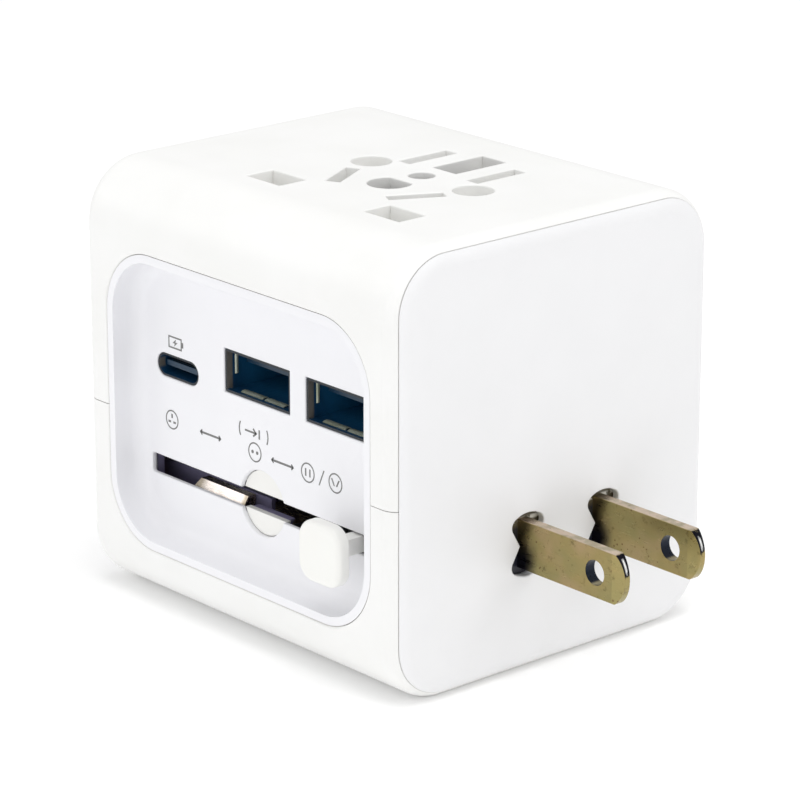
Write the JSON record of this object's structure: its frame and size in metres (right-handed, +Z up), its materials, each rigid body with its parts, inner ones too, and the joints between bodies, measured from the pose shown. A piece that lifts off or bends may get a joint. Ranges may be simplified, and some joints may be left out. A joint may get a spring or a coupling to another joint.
{
  "type": "universal travel adapter",
  "caption": "Box-shaped travel adapter with a multi-standard socket on top, USB ports in a front tray, and sliding flat, square and round plug pins.",
  "frame": {"origin": "middle of the flat underside of the case", "axes": "+Z up to the socket face, +X out of the flat-blade plug face, -Y out of the USB panel"},
  "size_m": [0.0776, 0.0539, 0.0567],
  "materials": {
    "case_white": "satin moulded ABS/PC",
    "panel_white": "satin, slightly cooler",
    "plate_white": "satin moulded plastic",
    "dark_liner": "dark moulded plastic",
    "copper_strip": "formed strip",
    "inner_white": "moulded plastic",
    "shutter_white": "moulded plastic",
    "spring_steel": "drawn wire",
    "port_metal": "plated steel",
    "port_insulator": "glass-filled nylon",
    "circuit_board": "solder mask",
    "component_black": "moulded package",
    "winding_tape": "polyester tape",
    "capacitor_sleeve": "shrink sleeve",
    "fuse_glass": "clear tube",
    "detent_metal": "nickel-plated leaf",
    "screw_steel": "zinc plated",
    "shuttle_dark": "glass-filled nylon",
    "pin_brass": "nickel-washed brass",
    "blade_brass": "aged, nickel-washed brass",
    "boss_dark": "glass-filled nylon",
    "pin_sleeve": "insulating sleeve",
    "knob_white": "satin, slightly warm"
  },
  "bodies": {
    "housing": {"upper_shell": "case_white", "lower_shell": "case_white", "port_panel": "panel_white", "flat_blade_plate": "plate_white", "square_pin_plate": "plate_white", "round_pin_plate": "plate_white", "mechanism_tray": "dark_liner", "round_pin_guide": "dark_liner", "live_rail": "copper_strip", "neutral_rail": "copper_strip", "live_contact": "copper_strip", "neutral_contact": "copper_strip", "earth_contact": "copper_strip", "socket_deck": "inner_white", "shutter_guides": "inner_white", "shutter_spring": "spring_steel", "usb_a_shell_left": "port_metal", "usb_a_shell_right": "port_metal", "usb_a_tongue_left": "port_insulator", "usb_a_tongue_right": "port_insulator", "usb_c_shell": "port_metal", "usb_c_tongue": "port_insulator", "usb_board": "circuit_board", "port_feet": "port_metal", "power_inductor": "component_black", "board_chips": "component_black", "power_board": "circuit_board", "transformer_core": "component_black", "transformer_winding": "winding_tape", "capacitors": "capacitor_sleeve", "fuse_glass": "fuse_glass", "fuse_caps": "port_metal", "fuse_clips": "copper_strip", "detent_spring": "detent_metal", "case_screws": "screw_steel", "release_springs": "spring_steel"},
    "shuttle": {"shuttle_base": "shuttle_dark", "shuttle_cap": "shuttle_dark", "square_pin_live": "pin_brass", "square_pin_neutral": "pin_brass", "square_pin_earth": "pin_brass", "square_pin_sleeves": "pin_sleeve", "wipers": "copper_strip", "knob_spring": "spring_steel"},
    "knob": {"slider_knob": "knob_white", "knob_stem": "knob_white"},
    "blade_near": {"blade_near": "blade_brass", "blade_boss_near": "boss_dark"},
    "blade_far": {"blade_far": "blade_brass", "blade_boss_far": "boss_dark"},
    "release": {"release_frame": "dark_liner", "release_button": "knob_white"},
    "round_pins": {"round_pin_carriage": "inner_white", "round_pin_left": "pin_brass", "round_pin_right": "pin_brass", "round_pin_sleeves": "pin_sleeve"},
    "shutter_left": {"shutter_left": "shutter_white"},
    "shutter_right": {"shutter_right": "shutter_white"}
  },
  "joints": [
    {"name": "shuttle_slide", "type": "slide", "parent": "housing", "child": "shuttle", "axis": [1, 0, 0], "range_m": [-0.036, 0]},
    {"name": "knob_press", "type": "slide", "parent": "shuttle", "child": "knob", "axis": [0, 1, 0], "range_m": [0, 0.0024], "stiffness_N_per_m": 250, "springref_m": -0.001, "deforming": ["knob_spring"]},
    {"name": "blade_twist_near", "type": "hinge", "parent": "shuttle", "child": "blade_near", "pos_m": [0.026, -0.00475, 0.0166], "axis": [1, 0, 0], "range_deg": [0, 30]},
    {"name": "blade_twist_far", "type": "hinge", "parent": "shuttle", "child": "blade_far", "pos_m": [0.026, 0.00795, 0.0166], "axis": [1, 0, 0], "range_deg": [-30, 0]},
    {"name": "release_press", "type": "slide", "parent": "housing", "child": "release", "axis": [0, 1, 0], "range_m": [0, 0.0016], "stiffness_N_per_m": 300, "springref_m": -0.001, "deforming": ["release_springs"]},
    {"name": "round_pin_slide", "type": "slide", "parent": "housing", "child": "round_pins", "axis": [0, 1, 0], "range_m": [0, 0.0179]},
    {"name": "shutter_slide_right", "type": "slide", "parent": "housing", "child": "shutter_right", "axis": [1, 0, 0], "range_m": [0, 0.0093], "stiffness_N_per_m": 20, "springref_m": -0.002, "deforming": ["shutter_spring"]},
    {"name": "shutter_slide_left", "type": "slide", "parent": "housing", "child": "shutter_left", "axis": [-1, 0, 0], "range_m": [0, 0.0093]}
  ],
  "couplings": [
    {"joint": "shutter_slide_left", "follows": "shutter_slide_right", "ratio": 1}
  ]
}
